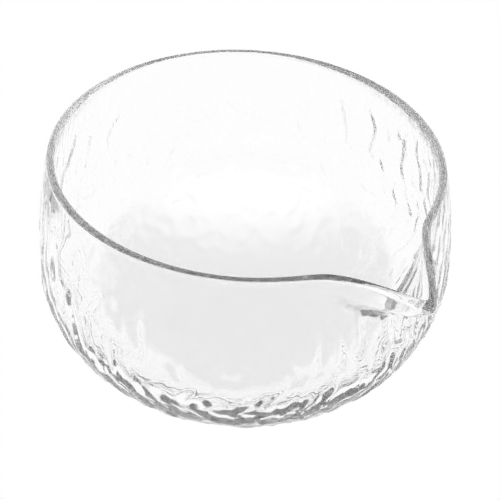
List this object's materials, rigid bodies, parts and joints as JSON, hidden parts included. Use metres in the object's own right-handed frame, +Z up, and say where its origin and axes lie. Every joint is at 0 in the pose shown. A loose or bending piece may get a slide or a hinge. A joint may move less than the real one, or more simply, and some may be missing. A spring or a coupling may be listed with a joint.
{
  "type": "glass pouring bowl",
  "caption": "Clear glass bowl with a round belly, an open rim and a V-shaped pouring lip, standing on a flat base.",
  "frame": {"origin": "centre of the flat base, on the surface that the bowl stands on", "axes": "+Z up through the centre of the bowl, +X towards the pouring lip, +Y across it"},
  "size_m": [0.1475, 0.1306, 0.08],
  "materials": {
    "clear_glass": "clear glass, hammered outside, smooth inside, fire-polished rim"
  },
  "bodies": {
    "root": {"glass_bowl": "clear_glass"}
  },
  "joints": []
}
